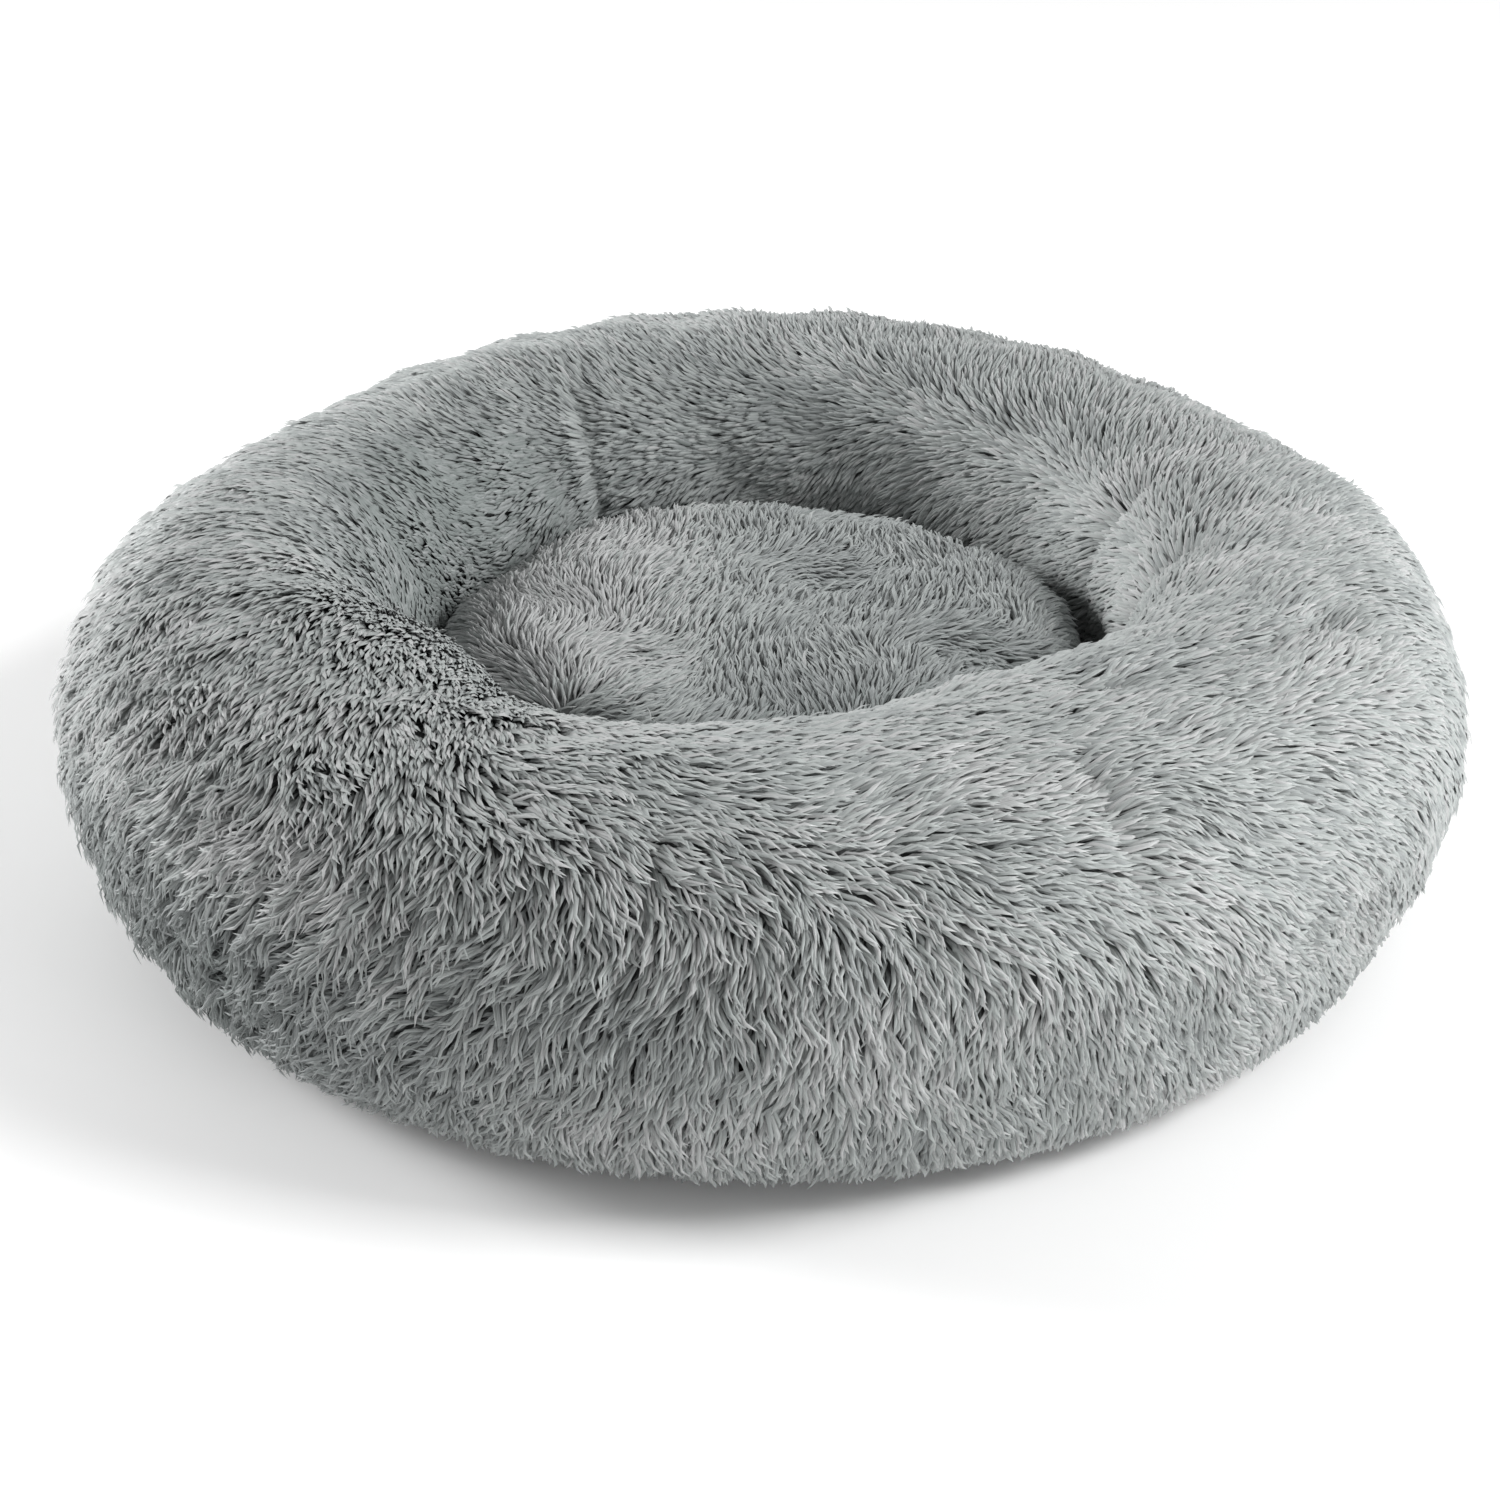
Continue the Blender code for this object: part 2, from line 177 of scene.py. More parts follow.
def woven_material(name, dark, light, pitch, roughness, relief, polar=False):
    material, nodes, links, shader = new_material(name)
    shader.inputs["Roughness"].default_value = roughness
    if polar:
        place = nodes.new("ShaderNodeGroup")
        place.node_tree = round_the_bed
        vector = place.outputs["Vector"]
    else:
        vector = nodes.new("ShaderNodeTexCoord").outputs["Object"]
    weave = nodes.new("ShaderNodeGroup")
    weave.node_tree = plain_weave
    weave.inputs["Pitch"].default_value = pitch
    links.new(vector, weave.inputs["Vector"])
    worn = math_node(nodes, links, "MULTIPLY", weave.outputs["Slub"], 0.6)
    shown = math_node(nodes, links, "MULTIPLY_ADD", weave.outputs["Height"], 0.55)
    links.new(worn, shown.node.inputs[2])
    links.new(mixed_colour(nodes, links, shown, dark, light), shader.inputs["Base Color"])
    bump = nodes.new("ShaderNodeBump")
    bump.inputs["Distance"].default_value = relief
    links.new(weave.outputs["Height"], bump.inputs["Height"])
    links.new(bump.outputs[0], shader.inputs["Normal"])
    return material


def finish_node(name, material):
    """Gives a CAD node that stays shown its finished material."""
    node = frame["nodes"][name]
    node.data.materials.clear()
    node.data.materials.append(material)


def linked(name, mesh, material, body, replaced=()):
    """A finished piece: its object, material, the body it rides on and what it stands for."""
    mesh.materials.append(material)
    made = bpy.data.objects.new(name, mesh)
    bpy.context.scene.collection.objects.link(made)
    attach(made, body)
    if replaced:
        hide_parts(*replaced)
    return made


def stamped(name, shape, placings):
    """One mesh that repeats a small bmesh at each 4x4 placing."""
    shape.verts.ensure_lookup_table()
    points = np.array([[*vertex.co, 1.0] for vertex in shape.verts])
    faces = [[vertex.index for vertex in face.verts] for face in shape.faces]
    shape.free()
    placed = np.einsum("nij,pj->npi", np.array(placings), points)[..., :3]
    step = len(points)
    everyone = [[vertex + copy * step for vertex in face] for copy in range(len(placings)) for face in faces]
    mesh = bpy.data.meshes.new(name)
    mesh.from_pydata(placed.reshape(-1, 3).tolist(), [], everyone)
    mesh.shade_smooth()
    return mesh


def rim_frame(azimuth, run, depth):
    """A placing on the rim, with X round the bed, Y up the slope and Z inwards."""
    slope = Matrix.Rotation(azimuth - math.pi / 2, 4, "Z") @ Matrix.Translation((0, BASE_FLAT_RADIUS, 0))
    slope = slope @ Matrix.Rotation(RIM_SLOPE, 4, "X")
    return slope @ Matrix.Translation((0, run, depth))


oxford = woven_material("oxford", (0.012, 0.013, 0.015), (0.075, 0.078, 0.085), YARN_PITCH, 0.62, 0.00012)

rim = [BASE_FLAT_RADIUS + run * math.cos(RIM_SLOPE) for run in (*RIM_EDGE_RUNS, *ZIP_SLOT)]
rise = [run * math.sin(RIM_SLOPE) for run in (*RIM_EDGE_RUNS, *ZIP_SLOT)]
disc = [(0, 0), (0.16, 0), (0.30, 0), *zip(rim[:-1], rise[:-1])]
lip = list(zip(rim[-2:], rise[-2:]))
base = bmesh.new()
for profile, start_deg, sweep_deg in ((disc, 0, 360), (lip, ZIP_END_DEG, 360 - ZIP_END_DEG + ZIP_START_DEG)):
    turn = Matrix.Rotation(math.radians(start_deg), 4, "Z")
    corners = [base.verts.new(turn @ Vector((radius, 0, height))) for radius, height in profile]
    bmesh.ops.spin(
        base,
        geom=[*corners, *(base.edges.new(pair) for pair in zip(corners, corners[1:]))],
        angle=math.radians(sweep_deg),
        steps=sweep_deg // 3,
        axis=(0, 0, 1),
        cent=(0, 0, 0),
        use_merge=sweep_deg == 360,
    )
bmesh.ops.remove_doubles(base, verts=base.verts, dist=1e-5)
bmesh.ops.recalc_face_normals(base, faces=base.faces)
if sum(face.normal.z for face in base.faces) > 0:
    bmesh.ops.reverse_faces(base, faces=base.faces)
mesh = bpy.data.meshes.new("base_cloth")
base.to_mesh(mesh)
base.free()
mesh.shade_smooth()
base_cloth = linked("base_cloth", mesh, oxford, "bed", ["base_panel"])
cloth = base_cloth.modifiers.new("cloth", "SOLIDIFY")
cloth.thickness = BASE_THICKNESS
cloth.offset = -1

grip, nodes, links, shader = new_material("grip_pvc")
shader.inputs["Roughness"].default_value = 0.38
mottle = nodes.new("ShaderNodeTexNoise")
mottle.inputs["Scale"].default_value = 220
links.new(nodes.new("ShaderNodeTexCoord").outputs["Object"], mottle.inputs["Vector"])
links.new(
    mixed_colour(nodes, links, mottle.outputs["Fac"], (0.016, 0.017, 0.018), (0.042, 0.044, 0.046)),
    shader.inputs["Base Color"],
)

drop = bmesh.new()
bmesh.ops.create_uvsphere(drop, u_segments=8, v_segments=4, radius=1)
top_half = [vertex for vertex in drop.verts if vertex.co.z > 0.1]
bmesh.ops.delete(drop, geom=top_half, context="VERTS")
bmesh.ops.holes_fill(drop, edges=drop.edges)
bmesh.ops.scale(drop, vec=(DOT_RADIUS, DOT_RADIUS, DOT_HEIGHT), verts=drop.verts)
placings = []
rows = int(BASE_FLAT_RADIUS / (DOT_PITCH * math.sqrt(0.75)))
for row in range(-rows, rows + 1):
    for column in range(-rows, rows + 1):
        spot = Vector(((column + 0.5 * (row % 2)) * DOT_PITCH, row * DOT_PITCH * math.sqrt(0.75), 0))
        if spot.length < BASE_FLAT_RADIUS - DOT_MARGIN:
            placings.append(Matrix.Translation(spot))
linked("grip_dots", stamped("grip_dots", drop, placings), grip, "bed")

thread, nodes, links, shader = new_material("sewing_thread")
shader.inputs["Roughness"].default_value = 0.55
ply = nodes.new("ShaderNodeTexWave")
ply.inputs["Scale"].default_value = 420
ply.bands_direction = "DIAGONAL"
links.new(nodes.new("ShaderNodeTexCoord").outputs["Object"], ply.inputs["Vector"])
links.new(
    mixed_colour(nodes, links, ply.outputs["Fac"], (0.05, 0.052, 0.056), (0.14, 0.145, 0.15)),
    shader.inputs["Base Color"],
)


def stitch_row(name, run, start_deg, end_deg):
    """Lockstitches along the rim, each a short thread that dips into the cloth at both ends."""
    stitch = bmesh.new()
    bmesh.ops.create_cone(
        stitch, cap_ends=True, segments=5, radius1=THREAD_RADIUS, radius2=THREAD_RADIUS, depth=STITCH_LENGTH
    )
    bmesh.ops.subdivide_edges(
        stitch, edges=[e for e in stitch.edges if abs(e.verts[0].co.z - e.verts[1].co.z) > 1e-4], cuts=1
    )
    bmesh.ops.rotate(stitch, matrix=Matrix.Rotation(math.pi / 2, 3, "Y"), verts=stitch.verts)
    for vertex in stitch.verts:
        vertex.co.z += THREAD_RADIUS * (2 * abs(vertex.co.x) / STITCH_LENGTH) ** 2
    radius = BASE_FLAT_RADIUS + run * math.cos(RIM_SLOPE)
    count = int(math.radians(end_deg - start_deg) * radius / STITCH_PITCH)
    turns = np.radians(np.linspace(start_deg, end_deg, count))
    placings = [rim_frame(turn, run, -0.5 * THREAD_RADIUS) for turn in turns]
    linked(name, stamped(name, stitch, placings), thread, "bed")


stitch_row("rim_stitches", RIM_SEAM, ZIP_END_DEG + 2, ZIP_START_DEG + 358)
stitch_row("zip_stitches", ZIP_SEAM, ZIP_START_DEG + 1, ZIP_END_DEG - 1)

# --- Zip ---------------------------------------------------------------------------------------
# A nylon coil zip sewn under the rim at the back, so that the cover comes off for washing. Each side is
# a coil of stiff monofilament on a woven tape. The die-cast slider runs on both coils, with a swinging pull.

ZIP_LINE = 0.028
HALF_SLOT = 0.0006
COIL_WIDTH, COIL_DEPTH = 0.003, (0.0008, 0.0021)
COIL_START_DEG, COIL_END_DEG = 21, 159
COIL_PITCH = 0.0013
WIRE_RADIUS = 0.00033
POINTS_PER_TURN, WIRE_SIDES = 6, 4

tape_cloth = woven_material(
    "zip_tape_cloth", (0.020, 0.021, 0.023), (0.10, 0.105, 0.11), 0.00045, 0.7, 0.00010, polar=True
)
for label in ("inner", "outer"):
    finish_node("zip_tape_" + label, tape_cloth)

nylon, nodes, links, shader = new_material("coil_nylon")
shader.inputs["Roughness"].default_value = 0.34
drawn = nodes.new("ShaderNodeTexNoise")
drawn.inputs["Scale"].default_value = 700
links.new(nodes.new("ShaderNodeTexCoord").outputs["Object"], drawn.inputs["Vector"])
links.new(
    mixed_colour(nodes, links, drawn.outputs["Fac"], (0.022, 0.023, 0.025), (0.060, 0.062, 0.066)),
    shader.inputs["Base Color"],
)


def rim_place(run, depth, azimuth):
    """Points of the rim as an array, for arrays of runs, depths and azimuths."""
    radius = BASE_FLAT_RADIUS + run * math.cos(RIM_SLOPE) - depth * math.sin(RIM_SLOPE)
    height = run * math.sin(RIM_SLOPE) + depth * math.cos(RIM_SLOPE)
    return np.stack([radius * np.cos(azimuth), radius * np.sin(azimuth), height], axis=-1)


def tube_mesh(name, path, radius, sides):
    """A tube of even radius along a path of points, closed at both ends."""
    count = len(path)
    way = np.gradient(path, axis=0)
    way /= np.linalg.norm(way, axis=1, keepdims=True)
    side = np.cross(way, (0.0, 0.0, 1.0))
    side /= np.linalg.norm(side, axis=1, keepdims=True)
    top = np.cross(side, way)
    angle = 2 * np.pi * (np.arange(sides) + 0.5) / sides
    ring = side[:, None] * np.cos(angle)[:, None] + top[:, None] * np.sin(angle)[:, None]
    points = (path[:, None] + radius * ring).reshape(-1, 3)
    faces = [list(range(sides)), [(count - 1) * sides + k for k in reversed(range(sides))]]
    for i in range(count - 1):
        for k in range(sides):
            a, b = i * sides + k, i * sides + (k + 1) % sides
            faces.append([a, a + sides, b + sides, b])
    mesh = bpy.data.meshes.new(name)
    mesh.from_pydata(points.tolist(), [], faces)
    mesh.shade_smooth()
    return mesh


coil_radius = BASE_FLAT_RADIUS + ZIP_LINE * math.cos(RIM_SLOPE)
turns = int(math.radians(COIL_END_DEG - COIL_START_DEG) * coil_radius / COIL_PITCH)
phase = 2 * math.pi * np.arange(turns * POINTS_PER_TURN + 1) / POINTS_PER_TURN
azimuth = np.radians(np.linspace(COIL_START_DEG, COIL_END_DEG, len(phase)))
half_deep = (COIL_DEPTH[1] - COIL_DEPTH[0]) / 2 - WIRE_RADIUS
half_wide = (HALF_SLOT + COIL_WIDTH) / 2 - WIRE_RADIUS
for side, label in ((-1, "inner"), (1, "outer")):
    middle = ZIP_LINE + side * (HALF_SLOT + COIL_WIDTH) / 2
    offset = 0 if side < 0 else math.pi
    run = middle + half_wide * np.cos(phase + offset)
    depth = sum(COIL_DEPTH) / 2 + half_deep * np.sin(phase + offset)
    coil = tube_mesh("zip_loops_" + label, rim_place(run, depth, azimuth), WIRE_RADIUS, WIRE_SIDES)
    linked("zip_loops_" + label, coil, nylon, "bed", ["zip_coil_" + label])


def cast_metal(name, dark, light):
    material, nodes, links, shader = new_material(name)
    shader.inputs["Metallic"].default_value = 0.9
    grain = nodes.new("ShaderNodeTexNoise")
    grain.inputs["Scale"].default_value = 900
    grain.inputs["Detail"].default_value = 3
    links.new(nodes.new("ShaderNodeTexCoord").outputs["Object"], grain.inputs["Vector"])
    links.new(mixed_colour(nodes, links, grain.outputs["Fac"], dark, light), shader.inputs["Base Color"])
    gloss = nodes.new("ShaderNodeMapRange")
    gloss.inputs["To Min"].default_value = 0.26
    gloss.inputs["To Max"].default_value = 0.46
    links.new(grain.outputs["Fac"], gloss.inputs["Value"])
    links.new(gloss.outputs[0], shader.inputs["Roughness"])
    return material


nickel = cast_metal("nickel_plate", (0.30, 0.30, 0.31), (0.48, 0.48, 0.49))

SLIDER_HALF_WIDTH, SLIDER_HALF_LENGTH = 0.005, 0.006
LOWER_PLATE, UPPER_PLATE = (-0.0007, 0.0005), (0.0035, 0.0047)
BRIDGE_HALF_WIDTH, BRIDGE_HALF_LENGTH = 0.0008, 0.004
BRIDGE_BOTTOM, BRIDGE_WINDOW = -0.0039, -0.0027
PULL_AXIS_DEPTH = -0.0017
PULL_HALF_WIDTH, PULL_HALF_THICKNESS, PULL_LENGTH = 0.0028, 0.0006, 0.024
EYE_HALF_WIDTH, EYE_LENGTH = 0.0013, 0.005
GRIP_BARS, GRIP_BAR_HALF_LENGTH, GRIP_BAR_WIDTH, GRIP_BAR_HEIGHT = 4, 0.0017, 0.0009, 0.00015
GRIP_BAR_PITCH, GRIP_END_MARGIN = 0.0022, 0.0035

swing = next(joint for joint in frame["joints"] if joint["name"] == "pull_swing")
pull_origin = Vector(swing["pos_m"])
across = -Vector(swing["axis"]).normalized()
along = Vector((-pull_origin.y, pull_origin.x, 0)).normalized()
pull_frame = Matrix((across, along, across.cross(along))).transposed().to_4x4()
pull_frame.translation = pull_origin
slider_frame = pull_frame @ Matrix.Translation((0, 0, -PULL_AXIS_DEPTH))


def rounded_block(shape, low, high, edge, corner=0.0, taper=1.0):
    """A block with rounded edges. corner rounds the edges along Z more, and taper narrows its +Y end."""
    made = bmesh.ops.create_cube(shape, size=1)["verts"]
    low, high = Vector(low), Vector(high)
    bmesh.ops.scale(shape, vec=high - low, verts=made)
    bmesh.ops.translate(shape, vec=(low + high) / 2, verts=made)
    for vertex in made:
        if vertex.co.y > (low.y + high.y) / 2:
            vertex.co.x = (low.x + high.x) / 2 + (vertex.co.x - (low.x + high.x) / 2) * taper
    if corner:
        upright = {e for v in made for e in v.link_edges if abs(e.verts[0].co.z - e.verts[1].co.z) > 1e-6}
        made = bmesh.ops.bevel(
            shape, geom=list(upright), offset=corner, segments=4, profile=0.5, affect="EDGES", material=-1
        )["verts"] + [v for v in made if v.is_valid]
    around = {e for v in made if v.is_valid for e in v.link_edges}
    sharp = [e for e in around if e.is_valid and e.calc_face_angle(0) > 0.7]
    bmesh.ops.bevel(shape, geom=sharp, offset=edge, segments=2, profile=0.5, affect="EDGES", material=-1)


def set_down(name, shape, placing, material, body, replaced):
    bmesh.ops.recalc_face_normals(shape, faces=shape.faces)
    bmesh.ops.transform(shape, matrix=placing, verts=shape.verts)
    mesh = bpy.data.meshes.new(name)
    shape.to_mesh(mesh)
    shape.free()
    mesh.shade_smooth()
    return linked(name, mesh, material, body, replaced)


COIL_OUTSIDE = HALF_SLOT + COIL_WIDTH
STOP_HALF_LENGTH, STOP_DEPTH = 0.0018, (0.0002, 0.0021)
TOP_STOP_DEG, BOTTOM_STOP_DEG = 20.1, 159.9
for name, turn_deg, low, high in (
    ("zip_top_stop_inner", TOP_STOP_DEG, -COIL_OUTSIDE, -HALF_SLOT),
    ("zip_top_stop_outer", TOP_STOP_DEG, HALF_SLOT, COIL_OUTSIDE),
    ("zip_bottom_stop", BOTTOM_STOP_DEG, -COIL_OUTSIDE, COIL_OUTSIDE),
):
    stop = bmesh.new()
    near, far = (-STOP_HALF_LENGTH, low, STOP_DEPTH[0]), (STOP_HALF_LENGTH, high, STOP_DEPTH[1])
    rounded_block(stop, near, far, 0.0004, corner=0.0006)
    place = rim_frame(math.radians(turn_deg), ZIP_LINE, 0)
    set_down(name.replace("zip_", "") + "_clip", stop, place, nickel, "bed", [name])

slider = bmesh.new()
wide, long = SLIDER_HALF_WIDTH, SLIDER_HALF_LENGTH
for low, high in (LOWER_PLATE, UPPER_PLATE):
    rounded_block(slider, (-wide, -long, low), (wide, long, high), 0.0003, corner=0.0022, taper=0.82)
rounded_block(slider, (-0.0003, -long / 2, 0.0002), (0.0003, long / 2, 0.0038), 0.0001)
rounded_block(
    slider,
    (-BRIDGE_HALF_WIDTH, -BRIDGE_HALF_LENGTH, BRIDGE_BOTTOM),
    (BRIDGE_HALF_WIDTH, BRIDGE_HALF_LENGTH, BRIDGE_WINDOW),
    0.00035,
)
for end in (-1, 1):
    near, far = sorted((end * BRIDGE_HALF_LENGTH, end * (BRIDGE_HALF_LENGTH - 0.0015)))
    rounded_block(
        slider, (-BRIDGE_HALF_WIDTH, near, BRIDGE_BOTTOM + 0.0004), (BRIDGE_HALF_WIDTH, far, -0.0003), 0.0003
    )
set_down("slider", slider, slider_frame, nickel, "slider", ["zip_slider"])

pull = bmesh.new()
thick = PULL_HALF_THICKNESS
tab_low, tab_high = (-PULL_HALF_WIDTH, EYE_LENGTH, -thick), (PULL_HALF_WIDTH, PULL_LENGTH, thick)
rounded_block(pull, tab_low, tab_high, 0.0003, corner=0.0013)
for side in (-1, 1):
    near, far = sorted((side * EYE_HALF_WIDTH, side * PULL_HALF_WIDTH))
    rounded_block(pull, (near, -thick, -thick), (far, EYE_LENGTH + 0.001, thick), 0.0003)
bar_reach = EYE_HALF_WIDTH + 0.0006
rounded_block(pull, (-bar_reach, -thick, -thick), (bar_reach, thick, thick), 0.0003)
for face in (-1, 1):
    near, far = sorted((face * thick, face * (thick + GRIP_BAR_HEIGHT)))
    for bar in range(GRIP_BARS):
        start = PULL_LENGTH - GRIP_END_MARGIN - GRIP_BAR_PITCH * bar
        corner = (-GRIP_BAR_HALF_LENGTH, start, near)
        rounded_block(pull, corner, (GRIP_BAR_HALF_LENGTH, start + GRIP_BAR_WIDTH, far), 0.00005)
set_down("pull", pull, pull_frame, nickel, "pull", ["zip_pull"])

# --- Care label --------------------------------------------------------------------------------
# A short satin ribbon, left blank, sewn into the base's edge beside the end of the zip.

finish_node(
    "care_label",
    woven_material("satin_ribbon", (0.62, 0.62, 0.61), (0.84, 0.84, 0.83), 0.0003, 0.4, 0.00004, polar=True),
)

# --- Ring cushion ------------------------------------------------------------------------------
# The ring is a stuffed tube of faux fur in two panels, sewn to each other at the front and the
# back, to the base at its outer foot and to the floor cushion's edge at its inner one.

OUTER_RADIUS = cad_box[1].x
RING_HEIGHT = cad_box[1].z
RING_MIDDLE = RING_HEIGHT / 2
CREST_RADIUS = 0.73 * OUTER_RADIUS
WELL_RADIUS = 0.5 * OUTER_RADIUS
OUTER_FOOT_DEG, INNER_FOOT_DEG = -52, 200
SEAM_DEG = -99
PILE_DEPTH, EDGE_DEPTH = 0.010, 0.0012
PILE_STARTS_AT, PILE_FULL_AT = 0.012, 0.055
COVER_THICKNESS = 0.0012

# Leans, swells and the tuck are each a bearing and a width in degrees, and how far the ring moves there.
CREST_LEANS = (-60, 34, 0.030), (218, 15, 0.019)
SHOULDER_SWELLS = (86, 34, 0.007), (38, 15, -0.005), (150, 22, -0.011)
FRONT_TUCK = 313, 20, 0.010
SEAM_DIP, SEAM_DIP_WIDTH = 0.004, 0.006
FOLD_DEG, FOLD_RADIUS, FOLD_WIDTH, FOLD_DIP = 303, 0.284, 0.009, 0.007
CREASE_DEG, CREASE_WIDTH_DEG, CREASE_DIP = 296, 1.8, 0.0025
GATHER_DEGS, GATHER_WIDTH_DEG, GATHER_DIP = (120, 17, -3), 2.4, 0.003


def smooth_step(low, high, value):
    share = np.clip((value - low) / (high - low), 0, 1)
    return share * share * (3 - 2 * share)


def ripple(points, wavelength, seed):
    """A smooth seeded unevenness of about -1 to 1 over space."""
    rng = np.random.default_rng(seed)
    total = np.zeros(points.shape[:-1])
    for _ in range(10):
        direction = rng.normal(size=3)
        direction /= np.linalg.norm(direction)
        pace = rng.uniform(0.6, 1.5) * 2 * np.pi / wavelength
        total += np.sin(points @ direction * pace + rng.uniform(0, 2 * np.pi))
    return total / 3.2


def turned_form(radius, height, warp):
    """A surface turned about Z from a profile, and warped. Returns its profile's length and the surface
    as a function of azimuth, run along the profile and depth under the surface."""
    steps = np.hypot(np.diff(radius), np.diff(height))
    run = np.concatenate([[0], np.cumsum(steps)])
    along_r, along_z = np.gradient(radius, run), np.gradient(height, run)
    size = np.hypot(along_r, along_z)

    def form(azimuth, at, depth=0.0):
        r, z = np.interp(at, run, radius), np.interp(at, run, height)
        out_r, out_z = np.interp(at, run, along_z / size), np.interp(at, run, -along_r / size)
        inward, swell = warp(azimuth, at, r, z)
        r = r - inward + out_r * (swell - depth)
        z = z + out_z * (swell - depth)
        return np.stack([r * np.cos(azimuth), r * np.sin(azimuth), z], axis=-1)

    return run, form


def ring_section():
    """The section from the base's seam over the crest to the inner foot: a squashed circle, squarer below.
    Returns radius, height and the angle round the section."""
    angle = np.radians(np.linspace(OUTER_FOOT_DEG, INNER_FOOT_DEG, 600))
    across, rise = np.cos(angle), np.sin(angle)
    outside = across > 0
    shape = np.where(rise >= 0, 1.0, np.where(outside, 0.8, 0.3))
    half = np.where(outside, OUTER_RADIUS - CREST_RADIUS, CREST_RADIUS - WELL_RADIUS)
    radius = CREST_RADIUS + half * np.sign(across) * np.abs(across) ** shape
    height = RING_MIDDLE * (1 + np.sign(rise) * np.abs(rise) ** shape)
    seam = BASE_FLAT_RADIUS + ZIP_SLOT[1] * math.cos(RIM_SLOPE), ZIP_SLOT[1] * math.sin(RIM_SLOPE)
    return (
        np.append(seam[0], radius),
        np.append(seam[1], height),
        np.append(OUTER_FOOT_DEG - 8, np.degrees(angle)),
    )


section_radius, section_height, section_angle = ring_section()


def turn_from(azimuth, degrees):
    """The signed turn in degrees from a bearing to an azimuth in radians."""
    return (np.degrees(azimuth) - degrees + 180) % 360 - 180


def groove(distance, width):
    return np.exp(-((distance / width) ** 2))


def ring_warp(azimuth, at, radius, height):
    """How far the ring leans in over the well, and how far it swells from its even shape."""
    angle = np.interp(at, ring_run, section_angle)
    crest = smooth_step(50, 105, angle) * (1 - smooth_step(150, 190, angle))
    lean = sum(reach * groove(turn_from(azimuth, bearing), width) for bearing, width, reach in CREST_LEANS)
    even = np.stack([radius * np.cos(azimuth), radius * np.sin(azimuth), height], axis=-1)
    swell = 0.0020 * ripple(even, 0.16, 3) + 0.0012 * ripple(even, 0.06, 4)
    shoulder = smooth_step(10, 50, angle) * (1 - smooth_step(100, 150, angle))
    for bearing, width, rise in SHOULDER_SWELLS:
        swell += shoulder * rise * groove(turn_from(azimuth, bearing), width)
    bearing, width, tuck = FRONT_TUCK
    swell -= (1 - smooth_step(-15, 25, angle)) * tuck * groove(turn_from(azimuth, bearing), width)
    outer_face = 1 - smooth_step(35, 75, angle)
    off_seam = turn_from(azimuth, SEAM_DEG) * np.radians(radius)
    swell -= outer_face * SEAM_DIP * groove(off_seam, SEAM_DIP_WIDTH)
    past_fold = turn_from(azimuth, FOLD_DEG)
    fold = groove(radius - FOLD_RADIUS - 0.0011 * past_fold, FOLD_WIDTH) * smooth_step(-10, 6, past_fold)
    swell -= FOLD_DIP * fold * (1 - smooth_step(26, 42, past_fold)) * smooth_step(10, 40, angle)
    crease = CREASE_DIP * groove(turn_from(azimuth, CREASE_DEG), CREASE_WIDTH_DEG)
    swell -= crease * smooth_step(0.315, 0.335, radius) * shoulder
    for gather_deg in GATHER_DEGS:
        gather = groove(turn_from(azimuth, gather_deg), GATHER_WIDTH_DEG)
        swell -= GATHER_DIP * gather * smooth_step(105, 140, angle)
    foot = smooth_step(-52, -10, angle)
    return lean * crest, swell * foot


ring_run, ring_form = turned_form(section_radius, section_height, ring_warp)


def ring_depth(at):
    """How deep the cloth lies under the pile's surface: least at the seams of both feet."""
    height = np.interp(at, ring_run, section_height)
    return EDGE_DEPTH + (PILE_DEPTH - EDGE_DEPTH) * smooth_step(PILE_STARTS_AT, PILE_FULL_AT, height)


def turned_skin(name, form, runs, start_deg, end_deg, steps, depth, closed_below=False):
    """A skin at depth(run) under the form: the profile spun about Z, then each corner set on the warped
    surface. closed_below joins the profile's ends, which makes a closed ring."""
    shape = bmesh.new()
    run_of = shape.verts.layers.float.new("run")
    start = math.radians(start_deg)
    corners = []
    for run in runs:
        corner = shape.verts.new(form(start, run, depth(run)))
        corner[run_of] = run
        corners.append(corner)
    edges = [shape.edges.new(pair) for pair in zip(corners, corners[1:])]
    if closed_below:
        edges.append(shape.edges.new((corners[-1], corners[0])))
    bmesh.ops.spin(
        shape,
        geom=[*corners, *edges],
        angle=math.radians(end_deg - start_deg),
        steps=steps,
        axis=(0, 0, 1),
        cent=(0, 0, 0),
        use_merge=abs(end_deg - start_deg) >= 360,
    )
    azimuth = np.array([math.atan2(corner.co.y, corner.co.x) for corner in shape.verts])
    run = np.array([corner[run_of] for corner in shape.verts])
    for corner, place in zip(shape.verts, form(azimuth, run, depth(run))):
        corner.co = place
    bmesh.ops.remove_doubles(shape, verts=shape.verts, dist=1e-5)
    bmesh.ops.recalc_face_normals(shape, faces=shape.faces)
    mesh = bpy.data.meshes.new(name)
    shape.to_mesh(mesh)
    shape.free()
    mesh.shade_smooth()
    return mesh


def thick_cloth(piece):
    """Gives a skin the thickness of its cloth, inwards."""
    cloth = piece.modifiers.new("cloth", "SOLIDIFY")
    cloth.thickness = COVER_THICKNESS
    cloth.offset = -1


